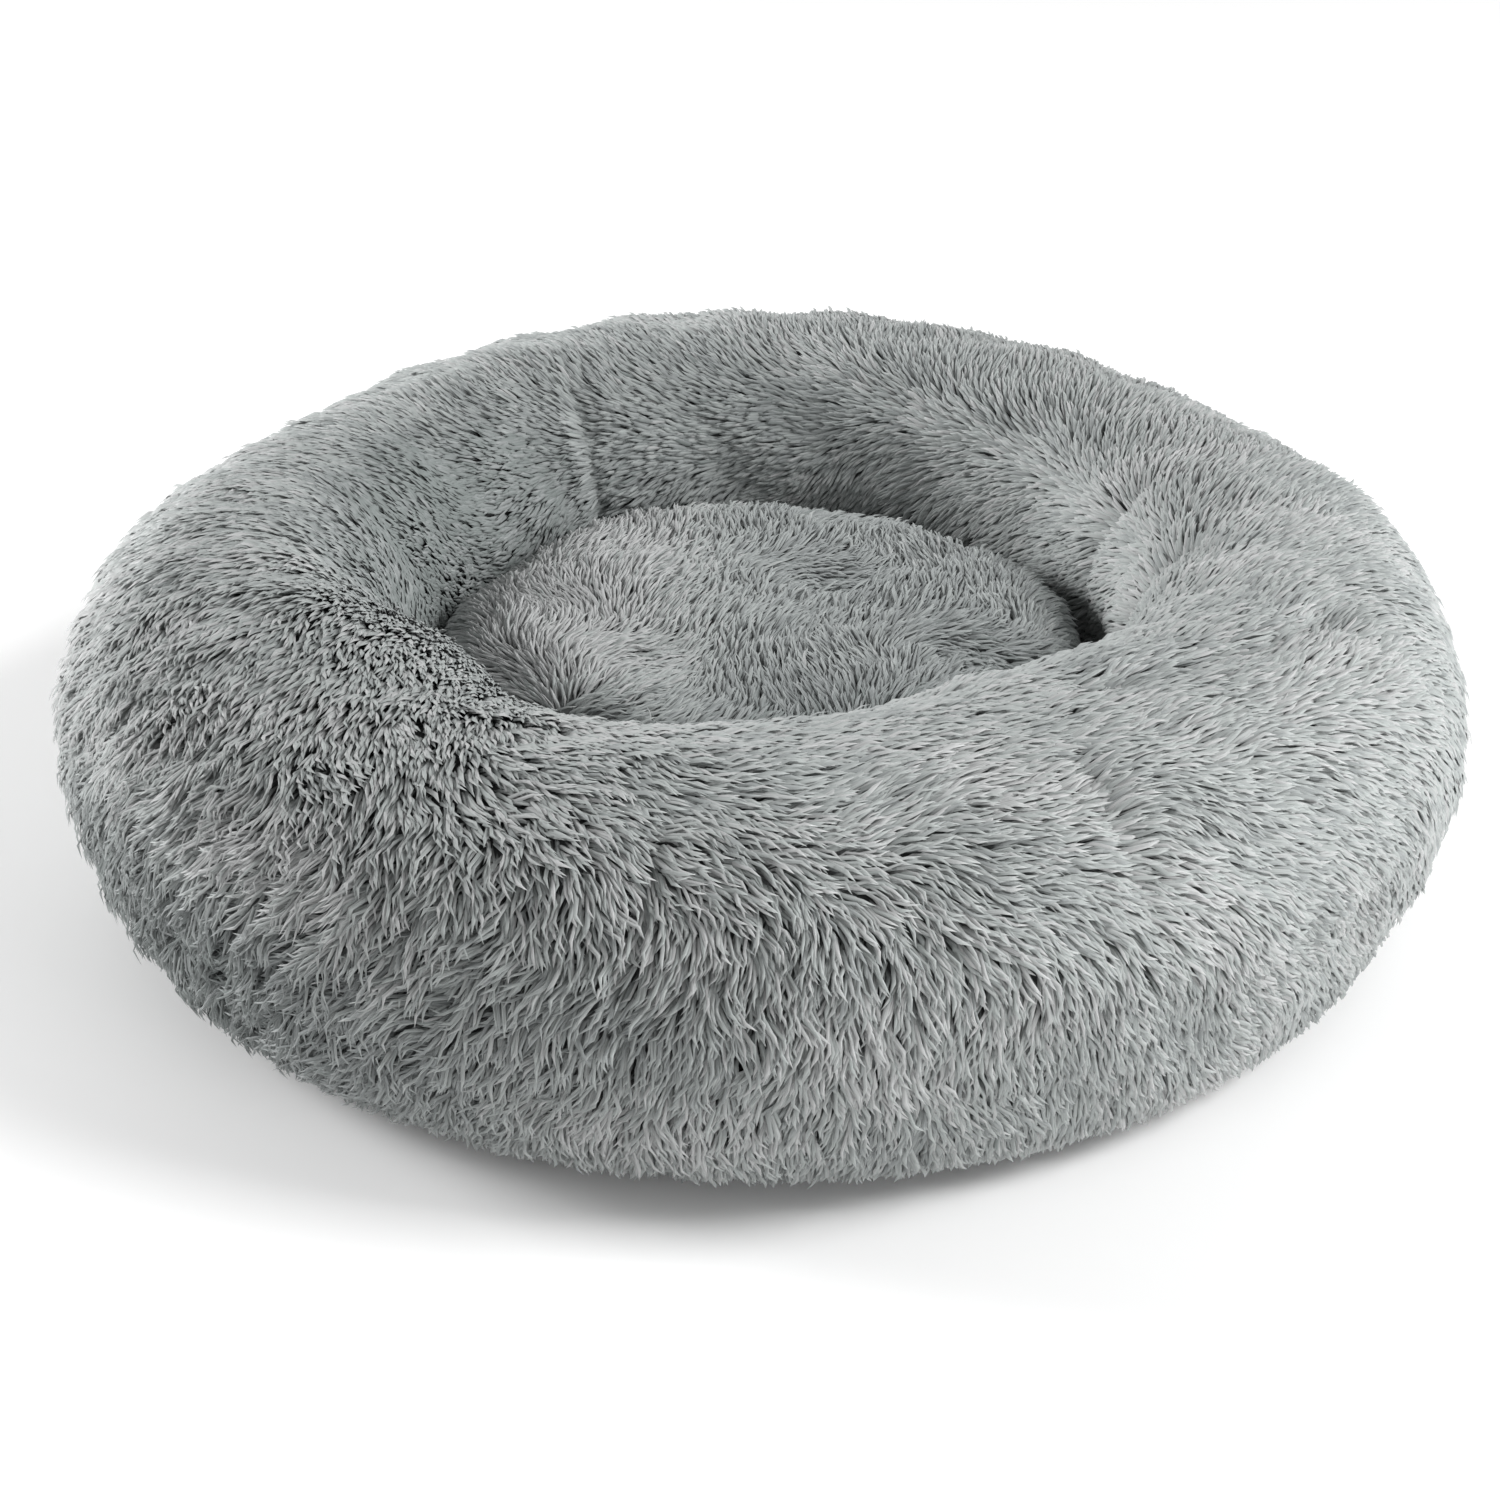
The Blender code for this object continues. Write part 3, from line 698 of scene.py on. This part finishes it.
def soft_material(name, dark, light, scale, relief, pattern="ShaderNodeTexNoise"):
    """A pale soft filling or bonded cloth with a small all-over pattern."""
    material, nodes, links, shader = new_material(name)
    shader.inputs["Roughness"].default_value = 0.85
    figure = nodes.new(pattern)
    figure.inputs["Scale"].default_value = scale
    links.new(nodes.new("ShaderNodeTexCoord").outputs["Object"], figure.inputs["Vector"])
    value = figure.outputs["Distance" if pattern == "ShaderNodeTexVoronoi" else "Fac"]
    links.new(mixed_colour(nodes, links, value, dark, light), shader.inputs["Base Color"])
    bump = nodes.new("ShaderNodeBump")
    bump.inputs["Distance"].default_value = relief
    links.new(value, bump.inputs["Height"])
    links.new(bump.outputs[0], shader.inputs["Normal"])
    return material


fibre = soft_material("hollow_fibre", (0.70, 0.70, 0.69), (0.88, 0.88, 0.87), 60, 0.002)
bonded = soft_material(
    "bonded_cloth", (0.55, 0.56, 0.57), (0.72, 0.73, 0.74), 450, 0.0002, "ShaderNodeTexVoronoi"
)
# The knitted backing is made dark so that the gaps between the locks look shaded: painted shade on the cloth
# under the pile.
gap_shade_backing = soft_material("knitted_backing_gap_shade", (0.045, 0.048, 0.048), (0.11, 0.115, 0.115), 500, 0.0003)

runs = np.linspace(0, ring_run[-1], 50)
for name, under, material, slot, stands_for in (
    ("ring_stuffing", 0.0038, fibre, "fibre", "ring_fibre"),
    ("ring_inner_bag", 0.0022, bonded, "nonwoven", "ring_bag"),
):
    mesh = turned_skin(
        name, ring_form, runs, 0, 360, 180, lambda at: ring_depth(at) + under, closed_below=True
    )
    linked(name, mesh, material, "bed", [stands_for])

for side, start in (("right", SEAM_DEG), ("left", SEAM_DEG + 180)):
    name = "ring_cover_" + side
    mesh = turned_skin(name, ring_form, runs, start, start + 180, 90, ring_depth)
    cover = linked(name, mesh, gap_shade_backing, "bed", ["ring_fur_" + side])
    thick_cloth(cover)

# --- Pile --------------------------------------------------------------------------------------
# Locks of long acrylic pile, each a tapered bent tuft. They gather in clumps with darker gaps, which are
# real shadow together with painted shade on the locks' roots and on the dark backing.

LOCK_STEPS = 8
LOCK_RINGS = (3, 6)
LOCK_GIRTH = (1.0, 0.85)
LOCK_FLATNESS = 0.65
SIDES = 3


def grown_roots(run, radius, low, high, start, end, spacing, rng):
    """Azimuths and runs of the locks' roots, evenly spread over a turned surface."""
    azimuths, runs = [], []
    for row in np.arange(low, high, spacing):
        around = (end - start) * np.interp(row, run, radius)
        count = max(1, int(round(around / spacing)))
        azimuths.append(start + (end - start) * (np.arange(count) + rng.random(count)) / count)
        runs.append(row + (rng.random(count) - 0.5) * spacing)
    return np.concatenate(azimuths), np.clip(np.concatenate(runs), low, high)


def hashed(i, j, seed):
    """A repeatable number from 0 to 1 for each cell of a grid."""
    value = np.sin(i * 127.1 + j * 311.7 + seed * 74.7) * 43758.5453
    return value - np.floor(value)


def nearest_clump(x, y, size, seed):
    """The offset from each lock to its clump's middle, and a number from 0 to 1 for each clump."""
    best = np.full(x.shape, np.inf)
    shift_x, shift_y, key = np.zeros_like(x), np.zeros_like(x), np.zeros_like(x)
    cell_x, cell_y = np.floor(x / size), np.floor(y / size)
    for step_x in (-1, 0, 1):
        for step_y in (-1, 0, 1):
            i, j = cell_x + step_x, cell_y + step_y
            off_x = (i + hashed(i, j, seed)) * size - x
            off_y = (j + hashed(i, j, seed + 1)) * size - y
            distance = np.hypot(off_x, off_y)
            nearer = distance < best
            best = np.where(nearer, distance, best)
            shift_x, shift_y = np.where(nearer, off_x, shift_x), np.where(nearer, off_y, shift_y)
            key = np.where(nearer, hashed(i, j, seed + 2), key)
    return shift_x, shift_y, key


def unit(vectors):
    return vectors / np.linalg.norm(vectors, axis=-1, keepdims=True)


def surface_axes(form, azimuth, run, depth):
    """Root places, and the unit directions around, along the profile and out of the surface."""
    small = 5e-4
    root = form(azimuth, run, depth)
    around = unit(form(azimuth + small, run, depth) - form(azimuth - small, run, depth))
    along = form(azimuth, run + small, depth) - form(azimuth, run - small, depth)
    along = unit(along - around * (along * around).sum(-1, keepdims=True))
    return root, around, along, np.cross(around, along)


def lock_mesh(
    name, root, around, along, out, comb, wave, rise, length, girth, settle, pull, shade, softness
):
    """One mesh of many locks. comb turns from down the profile towards around, wave is a lock's sway
    (angle, phase), settle how far its tip stays lifted, pull its lean (around, along) to its clump's
    middle, and softness how far its shading follows the surface instead of its own sides."""
    count = len(root)
    place, places, ways = root.copy(), [root.copy()], []
    for step in range(LOCK_STEPS):
        share = (step + 0.5) / LOCK_STEPS
        turn = comb + wave[0] * np.sin(5.0 * share + wave[1])
        lift = rise * (1 - share) + settle
        flat = around * np.sin(turn)[:, None] - along * np.cos(turn)[:, None]
        way = flat * np.cos(lift)[:, None] + out * np.sin(lift)[:, None]
        place = place + way * (length / LOCK_STEPS)[:, None]
        gather = ((step + 1) / LOCK_STEPS) ** 1.5
        places.append(place + (around * pull[0][:, None] + along * pull[1][:, None]) * gather)
        ways.append(way)
    corners = np.empty((count, SIDES * len(LOCK_RINGS) + 2, 3))
    normals = np.empty_like(corners)
    corners[:, 0], corners[:, -1] = places[0], places[-1]
    normals[:, 0], normals[:, -1] = out, unit(out + ways[-1])
    for ring, step in enumerate(LOCK_RINGS):
        side = unit(np.cross(out, ways[step]))
        top = np.cross(ways[step], side)
        for k in range(SIDES):
            angle = math.pi / 2 + 2 * math.pi * k / SIDES
            spread = side * math.cos(angle) + LOCK_FLATNESS * top * math.sin(angle)
            corners[:, 1 + ring * SIDES + k] = places[step] + spread * (girth * LOCK_GIRTH[ring])[:, None]
            normals[:, 1 + ring * SIDES + k] = unit((1 - softness) * unit(spread) + softness * out)
    faces, tip = [], 1 + SIDES * len(LOCK_RINGS)
    for k in range(SIDES):
        a, b = 1 + k, 1 + (k + 1) % SIDES
        faces += [(0, b, a), (a, b, b + SIDES), (a, b + SIDES, a + SIDES), (a + SIDES, b + SIDES, tip)]
    faces = np.array(faces)
    share = np.array([0.0, *np.repeat(LOCK_RINGS, SIDES) / LOCK_STEPS, 1.0])
    lean = np.array([0.0, *np.tile((-0.012, 0.0, 0.012), len(LOCK_RINGS)), 0.0])
    uv = np.empty((count, len(faces), 3, 2))
    uv[..., 0] = (0.03 + 0.94 * shade)[:, None, None] + lean[faces]
    uv[..., 1] = share[faces]
    everyone = faces[None] + (np.arange(count) * corners.shape[1])[:, None, None]
    mesh = bpy.data.meshes.new(name)
    mesh.vertices.add(count * corners.shape[1])
    mesh.vertices.foreach_set("co", corners.astype(np.float32).ravel())
    mesh.loops.add(everyone.size)
    mesh.loops.foreach_set("vertex_index", everyone.astype(np.int32).ravel())
    mesh.polygons.add(everyone.shape[0] * everyone.shape[1])
    mesh.polygons.foreach_set("loop_start", np.arange(0, everyone.size, 3, dtype=np.int32))
    mesh.update(calc_edges=True)
    layer = mesh.uv_layers.new(name="OFBake")
    layer.uv.foreach_set("vector", uv.astype(np.float32).ravel())
    mesh.shade_smooth()
    mesh.normals_split_custom_set_from_vertices(normals.reshape(-1, 3).astype(np.float32))
    return mesh


def ramp_node(nodes, links, value, stops):
    made = nodes.new("ShaderNodeValToRGB")
    ramp = made.color_ramp
    for element, (position, colour) in zip(ramp.elements, (stops[0], stops[-1])):
        element.position = position
        element.color = (*colour, 1)
    for position, colour in stops[1:-1]:
        ramp.elements.new(position).color = (*colour, 1)
    links.new(value, made.inputs[0])
    return made.outputs[0]


def multiplied(nodes, links, first, second):
    made = nodes.new("ShaderNodeMix")
    made.data_type = "RGBA"
    made.blend_type = "MULTIPLY"
    made.inputs["Factor"].default_value = 1
    links.new(first, made.inputs["A"])
    links.new(second, made.inputs["B"])
    return made.outputs["Result"]


def pile_material():
    """Long grey pile. Across the map a lock is darker or lighter, by chance and, in a few places, as painted
    light and shade; up it goes from root to tip, with painted shade at the root.
    """
    material, nodes, links, shader = new_material("long_pile")
    shader.inputs["Roughness"].default_value = 0.62
    shader.inputs["Specular IOR Level"].default_value = 0.25
    shader.inputs["Sheen Weight"].default_value = 0.12
    place = nodes.new("ShaderNodeUVMap")
    place.uv_map = "OFBake"
    axes = nodes.new("ShaderNodeSeparateXYZ")
    links.new(place.outputs["UV"], axes.inputs[0])
    tone = ramp_node(
        nodes,
        links,
        axes.outputs["X"],
        (
            (0.0, (0.215, 0.240, 0.234)),
            (0.30, (0.300, 0.318, 0.318)),
            (0.50, (0.385, 0.412, 0.404)),
            (0.68, (0.440, 0.448, 0.447)),
            (1.0, (0.535, 0.545, 0.545)),
        ),
    )
    # Painted shade: each lock is darker towards its root, deep in the pile.
    depth = ramp_node(
        nodes, links, axes.outputs["Y"], ((0.0, (0.35,) * 3), (0.45, (0.74,) * 3), (1.0, (1.0,) * 3))
    )
    stretched = nodes.new("ShaderNodeVectorMath")
    stretched.operation = "MULTIPLY"
    stretched.inputs[1].default_value = (260, 2.5, 1)
    links.new(place.outputs["UV"], stretched.inputs[0])
    strands = nodes.new("ShaderNodeTexNoise")
    strands.inputs["Scale"].default_value = 1
    strands.inputs["Detail"].default_value = 1
    links.new(stretched.outputs[0], strands.inputs["Vector"])
    streak = ramp_node(nodes, links, strands.outputs["Fac"], ((0.3, (0.80,) * 3), (0.7, (1.12,) * 3)))
    shaded = multiplied(nodes, links, multiplied(nodes, links, tone, depth), streak)
    links.new(shaded, shader.inputs["Base Color"])
    return material


pile = pile_material()
LOCK_SPACING = 0.0027
CLUMP = 0.0055
LOCK_LENGTH, LOCK_RADIUS, ROUGH_THINNING = 0.023, 0.00134, 0.00029
ROOT_DEPTH = 0.001


def ring_comb(azimuth, angle, root):
    """The way the ring's pile lies, from down the outside (0) to along the crest (90 degrees)."""
    front = groove(turn_from(azimuth, 290), 65)
    left = groove(turn_from(azimuth, 190), 52)
    turn = (25 + 60 * front) * smooth_step(18, 75, angle)
    turn += (110 - 50 * front) * (1 - left) * smooth_step(105, 170, angle)
    lower = 1 - smooth_step(30, 66, angle)
    turn += lower * (38 * groove(turn_from(azimuth, 312), 22) - 40 * groove(turn_from(azimuth, 242), 20))
    turn += 16 * ripple(root, 0.09, 11)
    return np.radians(turn)


def ring_pile(name, start_deg, end_deg, seed):
    rng = np.random.default_rng(seed)
    low = np.interp(OUTER_FOOT_DEG - 6, section_angle, ring_run)
    high = np.interp(182, section_angle, ring_run)
    start, end = math.radians(start_deg), math.radians(end_deg)
    azimuth, run = grown_roots(ring_run, section_radius, low, high, start, end, LOCK_SPACING, rng)
    depth = ring_depth(run) + ROOT_DEPTH
    root, around, along, out = surface_axes(ring_form, azimuth, run, depth)
    angle = np.interp(run, ring_run, section_angle)
    flat_x = azimuth * np.hypot(root[:, 0], root[:, 1])
    shift_x, shift_y, clump = nearest_clump(flat_x, run, CLUMP, 5)
    size = len(azimuth)
    rough = (0.08 + 0.92 * groove(turn_from(azimuth, 228), 60)) * (1 - 0.75 * smooth_step(35, 80, angle))
    # The lower left: its clumps are rougher, and the same mask later darkens its locks as painted shade.
    low_left_rough_and_shaded = groove(turn_from(azimuth, 222), 24) * (1 - smooth_step(0, 30, angle))
    rough += 0.5 * low_left_rough_and_shaded
    comb = ring_comb(azimuth, angle, root) + np.radians(
        rough * 46 * (clump - 0.5) + (4 + 6 * rough) * rng.normal(size=size)
    )
    sway = np.radians(12 + 26 * rough + 6 * rng.normal(size=size))
    phase = 3 * ripple(root, 0.03, 41) + 2 * clump
    rise = np.radians(52 + 10 * rough + 4 * rng.normal(size=size) + rough * 36 * (clump - 0.5))
    length = LOCK_LENGTH * (1 + 0.08 * rng.normal(size=size)) * (1 + 0.3 * rough * (clump - 0.5))
    length *= 1 - 0.12 * smooth_step(90, 130, angle)
    full = smooth_step(PILE_STARTS_AT, PILE_FULL_AT, root[:, 2])
    length *= 0.4 + 0.6 * full
    settle = -0.12 + 0.6 * (1 - full)
    girth = (LOCK_RADIUS - ROUGH_THINNING * rough) * (1 + 0.18 * rng.normal(size=size)).clip(0.5, 1.6)
    shade = 0.5 + 0.12 * rng.normal(size=size) + 0.16 * (clump - 0.5) + 0.08 * ripple(root, 0.09, 21)
    # Painted light and shade in the locks' tone: lighter on the outer left side, darker on the lower left
    # and on the inner left wall, where the lamps light the ring more or less.
    inner_left_painted_shade = groove(turn_from(azimuth, 160), 50) * smooth_step(100, 145, angle)
    left_side_painted_light = groove(turn_from(azimuth, 190), 14) * (1 - smooth_step(30, 60, angle))
    shade += 0.22 * left_side_painted_light - 0.48 * low_left_rough_and_shaded - 0.52 * inner_left_painted_shade
    mesh = lock_mesh(
        name,
        root,
        around,
        along,
        out,
        comb,
        (sway, phase),
        rise,
        length,
        girth,
        settle,
        ((0.3 + 0.4 * rough) * shift_x, (0.3 + 0.4 * rough) * shift_y),
        shade.clip(0, 1),
        0.6,
    )
    linked(name, mesh, pile, "bed")


for part, start in enumerate(np.arange(SEAM_DEG, SEAM_DEG + 360, 45)):
    side = "right" if part < 4 else "left"
    ring_pile(f"ring_pile_{side}_{part % 4 + 1}", start, start + 45, 100 + part)

# --- Floor cushion -----------------------------------------------------------------------------
# A stuffed disc, crowned in the middle, that fills the well. Its pile is a little shorter.

floor_low, floor_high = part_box("floor_fur")
FLOOR_RADIUS = floor_high.x
FLOOR_BOTTOM, FLOOR_TOP = floor_low.z, floor_high.z
FLOOR_SHAPE = 6.0
FLOOR_PILE_DEPTH, FLOOR_ROOT_DEPTH = 0.010, 0.0015
FLOOR_SIDE, FLOOR_POLE_GAP = 0.045, 0.001
FLOOR_LOCK_LENGTH, FLOOR_LOCK_RADIUS = 0.020, 0.00104

floor_angle = np.linspace(0, np.pi / 2, 400)
floor_r = FLOOR_RADIUS * np.sin(floor_angle) ** (2 / FLOOR_SHAPE)
floor_r[0] = 1e-5
floor_z = FLOOR_BOTTOM + (FLOOR_TOP - FLOOR_BOTTOM) * np.cos(floor_angle).clip(0) ** (2 / FLOOR_SHAPE)


def floor_warp(azimuth, at, radius, height):
    even = np.stack([radius * np.cos(azimuth), radius * np.sin(azimuth), height], axis=-1)
    return np.zeros_like(radius), 0.003 * ripple(even, 0.13, 8) + 0.001 * ripple(even, 0.05, 9)


floor_run, floor_form = turned_form(floor_r[::-1], floor_z[::-1], floor_warp)
runs = np.linspace(0, floor_run[-1], 40)
mesh = turned_skin("floor_cover", floor_form, runs, 0, 360, 96, lambda at: FLOOR_PILE_DEPTH)
floor_cover = linked("floor_cover", mesh, gap_shade_backing, "bed", ["floor_fur"])
thick_cloth(floor_cover)
finish_node("floor_bag", bonded)
finish_node("floor_fibre", fibre)


def floor_pile(name, start_deg, end_deg, seed):
    rng = np.random.default_rng(seed)
    low, high = floor_run[-1] - FLOOR_RADIUS - FLOOR_SIDE, floor_run[-1] - FLOOR_POLE_GAP
    start, end = math.radians(start_deg), math.radians(end_deg)
    azimuth, run = grown_roots(floor_run, floor_r[::-1], low, high, start, end, LOCK_SPACING, rng)
    root, around, along, out = surface_axes(floor_form, azimuth, run, FLOOR_PILE_DEPTH + FLOOR_ROOT_DEPTH)
    shift_x, shift_y, clump = nearest_clump(root[:, 0], root[:, 1], CLUMP, 6)
    size = len(azimuth)
    shift = np.stack([shift_x, shift_y, np.zeros(size)], axis=-1) * 0.5
    swirl = ripple(root, 0.10, 31)
    flow = np.radians(60 + 45 * swirl + 24 * (clump - 0.5) + rng.normal(0, 8, size)) - azimuth
    to_rim = smooth_step(0.14, 0.185, np.hypot(root[:, 0], root[:, 1]))
    comb = ((flow + np.pi) % (2 * np.pi) - np.pi) * (1 - to_rim)
    # Painted light and shade in the locks' tone: lighter on the left of the floor and darker at its front.
    left_painted_light = 1 - smooth_step(-0.10, 0.02, root[:, 0])
    shade = 0.33 + 0.10 * rng.normal(size=size) + 0.12 * (clump - 0.5) + 0.05 * swirl + 0.36 * left_painted_light
    shade -= 0.18 * (1 - smooth_step(-0.14, -0.06, root[:, 1]))
    mesh = lock_mesh(
        name,
        root,
        around,
        along,
        out,
        comb,
        (np.radians(14 + 5 * rng.normal(size=size)), 3 * ripple(root, 0.03, 42)),
        np.radians(50 + rng.normal(0, 6, size) + 10 * (clump - 0.5)),
        FLOOR_LOCK_LENGTH * (1 + 0.08 * rng.normal(size=size)) * (0.9 + 0.2 * clump),
        FLOOR_LOCK_RADIUS * (1 + 0.2 * rng.normal(size=size)).clip(0.5, 1.6),
        -0.10,
        ((shift * around).sum(-1), (shift * along).sum(-1)),
        shade.clip(0, 1),
        0.45,
    )
    linked(name, mesh, pile, "bed")


floor_pile("floor_pile_right", -90, 90, 77)
floor_pile("floor_pile_left", 90, 270, 78)

# --- Floor, light and camera -------------------------------------------------------------------

GROUND_HALF_SIZE, GROUND_DROP = 12, 0.0006

ground = bpy.data.meshes.new("ground")
shape = bmesh.new()
bmesh.ops.create_grid(shape, x_segments=1, y_segments=1, size=GROUND_HALF_SIZE)
bmesh.ops.translate(shape, vec=(0, 0, -GROUND_DROP), verts=shape.verts)
shape.to_mesh(ground)
shape.free()
ground_object = bpy.data.objects.new("ground", ground)
bpy.context.scene.collection.objects.link(ground_object)
white = bpy.data.materials.new("studio_white")
white.use_nodes = True
white.node_tree.nodes["Principled BSDF"].inputs["Base Color"].default_value = (0.9, 0.9, 0.9, 1)
ground.materials.append(white)
ground_object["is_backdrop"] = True


def area_light(name, place, aim, size, power, colour=(1, 1, 1)):
    light = bpy.data.lights.new(name, "AREA")
    light.energy = power
    light.size = size
    light.color = colour
    made = bpy.data.objects.new(name, light)
    made.location = place
    made.rotation_euler = (Vector(aim) - Vector(place)).to_track_quat("-Z", "Y").to_euler()
    bpy.context.scene.collection.objects.link(made)


area_light("key", (4.6, -0.5, 3.6), (0, 0, 0.1), 2.2, 350)
area_light("low right", (3.4, -2.9, 0.8), (0, 0, 0.1), 1.6, 85)
area_light("left", (-4.4, 1.2, 1.5), (0, 0, 0.1), 1.6, 300)

world = bpy.data.worlds.new("studio")
bpy.context.scene.world = world
world.use_nodes = True
world.node_tree.nodes["Background"].inputs["Color"].default_value = (1, 1, 1, 1)
world.node_tree.nodes["Background"].inputs["Strength"].default_value = 0.42

bpy.context.scene.view_settings.view_transform = "Standard"

CAMERA_RISE_DEG, CAMERA_ROLL_DEG, CAMERA_DISTANCE, CAMERA_LENS = 31.1, 0.47, 1.37, 53.6
AIM = Vector((-0.0085, 0, 0.0336))
eye = Vector((0, -math.cos(math.radians(CAMERA_RISE_DEG)), math.sin(math.radians(CAMERA_RISE_DEG))))
eye *= CAMERA_DISTANCE
camera = bpy.data.objects.new("camera", bpy.data.cameras.new("camera"))
bpy.context.scene.collection.objects.link(camera)
camera.data.lens = CAMERA_LENS
camera.location = eye
camera.rotation_euler = (
    (AIM - eye).to_track_quat("-Z", "Y").to_matrix() @ Matrix.Rotation(math.radians(CAMERA_ROLL_DEG), 3, "Z")
).to_euler()
bpy.context.scene.camera = camera

low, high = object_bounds()
